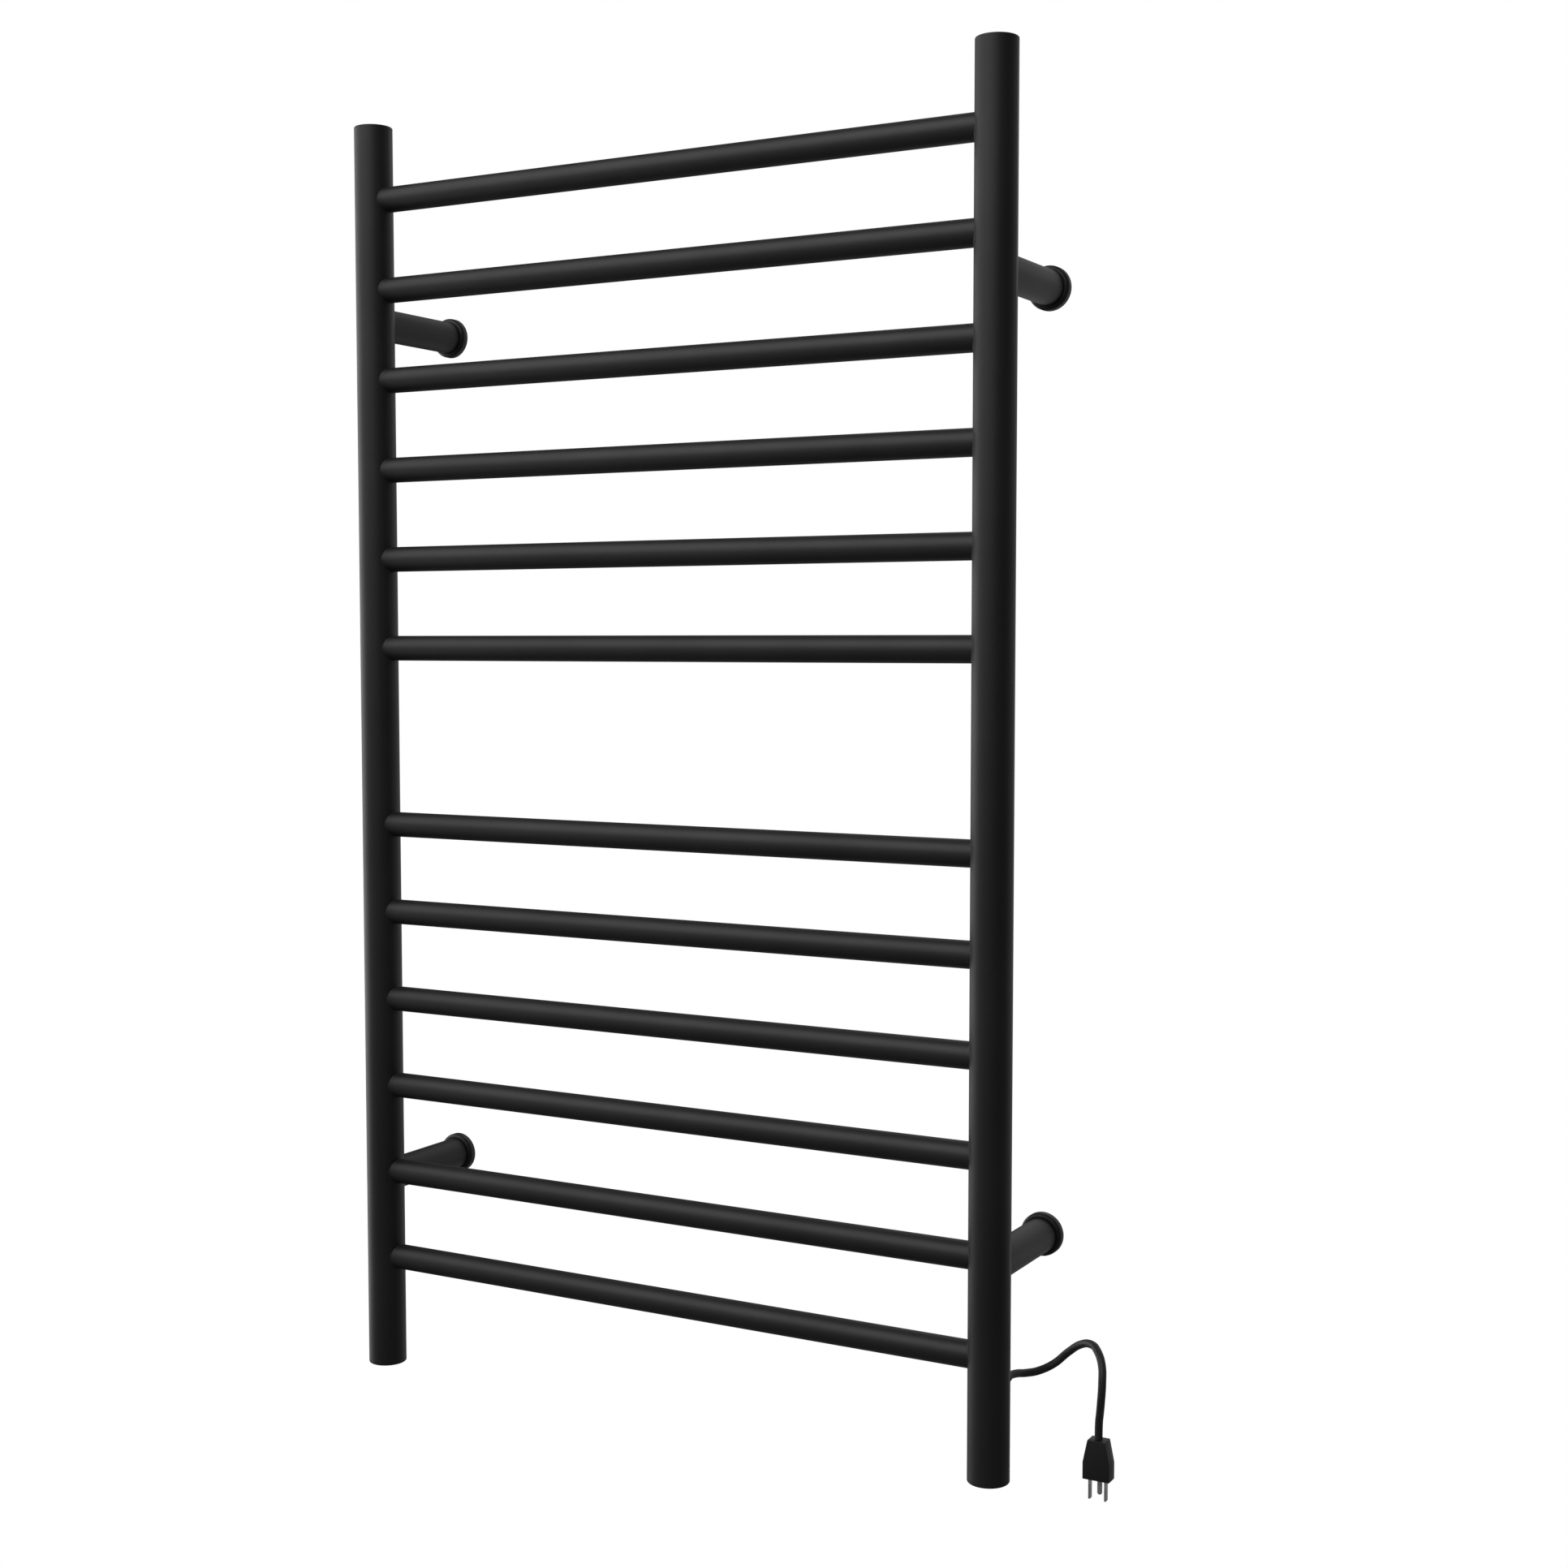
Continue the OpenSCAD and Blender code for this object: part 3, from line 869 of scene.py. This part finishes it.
@dataclass
class CordBoot:
    """The moulded strain relief: a collar inside the tube, a neck, and a ribbed taper outside."""

    collar_radius: float = 6 * MM
    neck_radius: float = 4.6 * MM
    base_radius: float = 6.5 * MM
    tip_radius: float = 3.75 * MM
    groove_radius: float = 3.55 * MM
    length: float = 20 * MM
    ribs: int = 4
    groove_share: float = 0.35
    groove_slope: float = 0.1 * MM
    tube_wall: float = 1.5 * MM
    sides: int = 64
    edge_round: float = 0.3 * MM

    def __post_init__(self) -> None:
        """Reads the upright's radius and the boot's place from the frame."""
        low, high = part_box("right_upright")
        self.tube_radius = (high.x - low.x) / 2
        self.axis = (low + high) / 2
        self.axis.z = centre_of("strain_relief").z
        self.back = high.y
        self.inner_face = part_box("strain_relief")[0].y

    def _stations(self) -> list[tuple[float, float, bool]]:
        """The boot's outline, from the end inside the tube to the tip.

        Returns:
            The radius, the place along Y and whether the ring sits on the round tube, of each ring.
        """
        inside = self.back - self.tube_wall
        pitch = self.length / (self.ribs + self.groove_share + 1)
        outline = [
            (self.collar_radius, self.inner_face, False),
            (self.collar_radius, inside, True),
            (self.neck_radius, inside, True),
            (self.neck_radius, self.back, True),
            (self.base_radius, self.back, True),
        ]
        for k in range(1, self.ribs + 1):
            start = self.back + k * pitch
            end = start + self.groove_share * pitch
            outline += [
                (self._taper(start), start, False),
                (self.groove_radius, start + self.groove_slope, False),
                (self.groove_radius, end - self.groove_slope, False),
                (self._taper(end), end, False),
            ]
        outline.append((self.tip_radius, self.back + self.length, False))
        return outline

    def _taper(self, y: float) -> float:
        """The outer radius at a place along the boot.

        Args:
            y: The place along Y.

        Returns:
            The radius.
        """
        share = (y - self.back) / self.length
        return self.base_radius + (self.tip_radius - self.base_radius) * share

    def build(self, paint: Paint) -> bpy.types.Object:
        """Models the boot by extruding a ring from station to station.

        Args:
            paint: Where its finish comes from.

        Returns:
            The boot.
        """
        outline = self._stations()
        Bench.clear_selection()
        bpy.ops.mesh.primitive_circle_add(
            vertices=self.sides,
            radius=outline[0][0],
            fill_type="NGON",
            location=(self.axis.x, outline[0][1], self.axis.z),
            rotation=(math.pi / 2, 0, 0),
        )
        boot = bpy.context.active_object
        bpy.ops.object.transform_apply(location=True, rotation=True, scale=True)
        with Bench.editing(boot):
            bpy.ops.mesh.select_all(action="SELECT")
            for (radius, y, _), (next_radius, next_y, _) in zip(outline, outline[1:]):
                step = {"value": (0, next_y - y, 0)}
                bpy.ops.mesh.extrude_region_move(TRANSFORM_OT_translate=step)
                growth = next_radius / radius
                middle = (self.axis.x, next_y, self.axis.z)
                bpy.ops.transform.resize(value=(growth, 1, growth), center_override=middle)
        self._saddle(boot, outline)
        Bench.round_edges(boot, self.edge_round, segments=3, angle=35)
        Bench.complete(boot, "cord_boot", smooth_angle=35)
        paint.coat(boot, Slot.BOOT_RUBBER)
        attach(boot, "root")
        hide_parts("strain_relief")
        return boot

    def _saddle(self, boot: bpy.types.Object, outline: Sequence[tuple[float, float, bool]]) -> None:
        """Bends the rings that touch the tube to its round back.

        Args:
            boot: The boot.
            outline: Its rings, each with the same number of vertices.
        """
        seated = [(radius, y) for radius, y, on_tube in outline if on_tube]
        for vertex in boot.data.vertices:
            x, z = vertex.co.x - self.axis.x, vertex.co.z - self.axis.z
            radius = math.hypot(x, z)
            for ring_radius, ring_y in seated:
                if abs(radius - ring_radius) < NEAR and abs(vertex.co.y - ring_y) < NEAR:
                    from_axis = ring_y - self.axis.y
                    vertex.co.y = self.axis.y + math.sqrt(from_axis**2 - x**2)
                    break


@dataclass
class JointFillet:
    """The smoothed braze that runs round a tube where it meets an upright."""

    width: float = 0.75 * MM
    bury: float = 0.5 * MM
    around: int = 72
    across: int = 8

    def build(
        self, name: str, joint: Vector, out: Vector, tube_radius: float, upright_radius: float
    ) -> bpy.types.Object:
        """Models one fillet on the curve where two round tubes cross at right angles.

        Args:
            name: The piece's name.
            joint: Where the tubes' axes cross.
            out: The direction in which the thinner tube leaves the upright.
            tube_radius: The thinner tube's radius.
            upright_radius: The upright's radius.

        Returns:
            The fillet.
        """
        Bench.clear_selection()
        bpy.ops.mesh.primitive_torus_add(
            major_segments=self.around,
            minor_segments=self.across,
            major_radius=tube_radius,
            minor_radius=self.width,
        )
        fillet = bpy.context.active_object
        side = out.cross(Vector((0, 0, 1)))
        for index, vertex in enumerate(fillet.data.vertices):
            turn = 2 * math.pi * (index // self.across) / self.around
            reach, radius = self._section(index % self.across, turn, tube_radius, upright_radius)
            ring = side * math.cos(turn) * radius + Vector((0, 0, 1)) * math.sin(turn) * radius
            vertex.co = joint + out * reach + ring
        return Bench.complete(fillet, name, smooth_angle=60)

    def _section(
        self, step: int, turn: float, tube_radius: float, upright_radius: float
    ) -> tuple[float, float]:
        """One point of the fillet's section: a hollow curve outside, and one corner in the metal.

        Args:
            step: The point's number, from 0.
            turn: The angle round the thinner tube.
            tube_radius: The thinner tube's radius.
            upright_radius: The upright's radius.

        Returns:
            The point's distance from the upright's axis along the thinner tube, and its distance
            from the thinner tube's axis.
        """

        def seat(radius: float) -> float:
            """How far out the upright's surface lies at a distance from the tube's axis.

            Args:
                radius: The distance from the thinner tube's axis.

            Returns:
                The distance from the upright's axis, along the thinner tube.
            """
            return math.sqrt(upright_radius**2 - (radius * math.cos(turn)) ** 2)

        if step == self.across - 1:
            radius = tube_radius - self.bury
            return seat(radius) - self.bury, radius
        share = step / (self.across - 2)
        corner = (seat(tube_radius), tube_radius)
        start = (corner[0] + self.width, tube_radius)
        end_radius = tube_radius + self.width
        end = (seat(end_radius), end_radius)
        weights = ((1 - share) ** 2, 2 * share * (1 - share), share**2)
        points = (start, corner, end)
        reach = sum(w * p[0] for w, p in zip(weights, points))
        radius = sum(w * p[1] for w, p in zip(weights, points))
        return reach, radius


@dataclass
class FrictionRing:
    """The rubber ring in a cover's bore, which closes its gap and holds it on its post."""

    gap: float = 0.3 * MM
    clearance: float = 0.01 * MM
    setback: float = 0.45 * MM
    around: int = 96
    across: int = 12

    def build(self, corner: str) -> bpy.types.Object:
        """Models the ring of one cover, just behind its front edge.

        Args:
            corner: The bracket's corner, such as upper_left.

        Returns:
            The ring.
        """
        cover, post = f"{corner}_cover", f"{corner}_post"
        place = centre_of(cover)
        place.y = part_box(cover)[0].y + self.setback
        thickness = self.gap / 2
        radius = size_of(post).x / 2 + self.clearance + thickness
        Bench.clear_selection()
        bpy.ops.mesh.primitive_torus_add(
            location=place,
            rotation=(math.pi / 2, 0, 0),
            major_segments=self.around,
            minor_segments=self.across,
            major_radius=radius,
            minor_radius=thickness,
        )
        return Bench.complete(bpy.context.active_object, f"{cover}_ring", smooth_angle=60)


@dataclass
class Rack:
    """The welded frame: fillets at every bar and post of both uprights."""

    bar_count: int = 12
    fillet: JointFillet = field(default_factory=JointFillet)

    def build(self, paint: Paint) -> list[bpy.types.Object]:
        """Models the fillets.

        Args:
            paint: Where their finish comes from.

        Returns:
            The fillets.
        """
        made = []
        for side, sign in zip(SIDES, (1, -1)):
            upright = centre_of(f"{side}_upright")
            radius = size_of(f"{side}_upright").x / 2
            for number in range(1, self.bar_count + 1):
                bar = f"bar_{number:02d}"
                joint = Vector((upright.x, upright.y, centre_of(bar).z))
                out, bar_radius = Vector((sign, 0, 0)), size_of(bar).z / 2
                name = f"{bar}_{side}_braze"
                made.append(self.fillet.build(name, joint, out, bar_radius, radius))
            for level in LEVELS:
                post = f"{level}_{side}_post"
                joint = Vector((upright.x, upright.y, centre_of(post).z))
                out, post_radius = Vector((0, 1, 0)), size_of(post).z / 2
                name = f"{post}_braze"
                made.append(self.fillet.build(name, joint, out, post_radius, radius))
        for piece in made:
            paint.coat(piece, Slot.POWDER_BLACK)
            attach(piece, "root")
        return made


# ------------------------------------------------------------------ studio


@dataclass(frozen=True)
class SoftBox:
    """A square soft light on a sphere round the rack, aimed at its middle."""

    name: str
    azimuth: float
    elevation: float
    watts: float
    size: float = 3.2
    distance: float = 3.5


@dataclass
class Studio:
    """The camera, a plain pale floor and soft light."""

    eye: Point = (0.91729, -1.56767, 0.0966)
    look_down: float = 3.7251
    turn: float = 28.8935
    lens: float = 50
    sensor: float = 36
    sight: float = 200
    room_strength: float = 0.1
    floor_drop: float = 0.42
    floor_size: float = 60
    boxes: tuple[SoftBox, ...] = (
        SoftBox("left_softbox", 270, 0, 58.3),
        SoftBox("front_high_softbox", 180, 40, 41.9),
        SoftBox("front_left_high_softbox", 225, 40, 40.0),
        SoftBox("front_left_fill", 225, 0, 5.6),
        SoftBox("back_high_softbox", 0, 40, 14.8),
        SoftBox("back_softbox", 0, 0, 13.0),
        SoftBox("back_right_softbox", 45, 0, 8.5),
        SoftBox("back_low_fill", 0, -45, 6.6),
    )

    def place_camera(self) -> None:
        """Puts the camera at the viewing angle."""
        data = bpy.data.cameras.new("camera")
        data.lens = self.lens
        data.sensor_width = self.sensor
        data.sensor_fit = "HORIZONTAL"
        data.clip_end = self.sight
        camera = bpy.data.objects.new("camera", data)
        camera.location = self.eye
        camera.rotation_euler = (math.radians(90 - self.look_down), 0, math.radians(self.turn))
        bpy.context.scene.collection.objects.link(camera)
        bpy.context.scene.camera = camera

    def build(self) -> None:
        """Lights the rack over a plain floor."""
        self._world()
        self._floor()
        for box in self.boxes:
            self._light(box)
        bpy.context.scene.view_settings.view_transform = "Standard"

    def _world(self) -> None:
        """A white surround for the camera and a dimmer one for the light on the rack."""
        world = bpy.data.worlds.new("studio")
        world.use_nodes = True
        bpy.context.scene.world = world
        graph = Graph(world.node_tree)
        sockets = {"Color": WHITE, "Strength": 1.0}
        seen = graph.node("ShaderNodeBackground", None, sockets)
        sockets = {"Color": WHITE, "Strength": self.room_strength}
        room = graph.node("ShaderNodeBackground", None, sockets)
        rays = graph.node("ShaderNodeLightPath").outputs["Is Camera Ray"]
        sockets = {0: rays, 1: room.outputs[0], 2: seen.outputs[0]}
        mixed = graph.node("ShaderNodeMixShader", None, sockets)
        graph.node("ShaderNodeOutputWorld", None, {"Surface": mixed.outputs[0]})

    def _floor(self) -> None:
        """A wide pale floor below the rack."""
        Bench.clear_selection()
        drop = CAD_BOX[0].z - self.floor_drop
        bpy.ops.mesh.primitive_plane_add(size=self.floor_size, location=(0, 0, drop))
        floor = bpy.context.active_object
        floor.name = "floor"
        material = bpy.data.materials.new("pale_floor")
        material.use_nodes = True
        graph = Graph(material.node_tree)
        glow = graph.node("ShaderNodeEmission", None, {"Color": WHITE, "Strength": 1.0})
        graph.node("ShaderNodeOutputMaterial", None, {"Surface": glow.outputs[0]})
        floor.data.materials.append(material)
        floor.visible_diffuse = False
        floor.visible_glossy = False
        floor.visible_shadow = False

    @staticmethod
    def _light(box: SoftBox) -> None:
        """Sets up one soft box.

        Args:
            box: Its place, size and power.
        """
        data = bpy.data.lights.new(box.name, "AREA")
        data.shape = "SQUARE"
        data.size = box.size
        data.energy = box.watts
        azimuth, elevation = math.radians(box.azimuth), math.radians(box.elevation)
        towards = Vector(
            (
                math.sin(azimuth) * math.cos(elevation),
                math.cos(azimuth) * math.cos(elevation),
                math.sin(elevation),
            )
        )
        light = bpy.data.objects.new(box.name, data)
        light.location = towards * box.distance
        light.rotation_euler = towards.to_track_quat("Z", "Y").to_euler()
        bpy.context.scene.collection.objects.link(light)


def main() -> None:
    """Builds the looks in order and reports each piece."""
    logging.basicConfig(level=logging.INFO, format="%(name)s: %(message)s")
    studio = Studio()
    studio.place_camera()
    paint = Paint()
    plug = Plug()
    plug.build(paint)
    cord = PowerCord().build(paint, plug)
    LOG.info("%s laid with %s and %s", cord.name, plug.body.name, plug.blades.name)
    boot = CordBoot().build(paint)
    LOG.info("%s built", boot.name)
    paint.coat_frame()
    for piece in Rack().build(paint):
        LOG.info("%s built", piece.name)
    for corner in (f"{level}_{side}" for level in LEVELS for side in SIDES):
        ring = FrictionRing().build(corner)
        paint.coat(ring, Slot.BOOT_RUBBER)
        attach(ring, f"{corner}_cover")
        LOG.info("%s built", ring.name)
    studio.build()


if __name__ == "__main__":
    main()
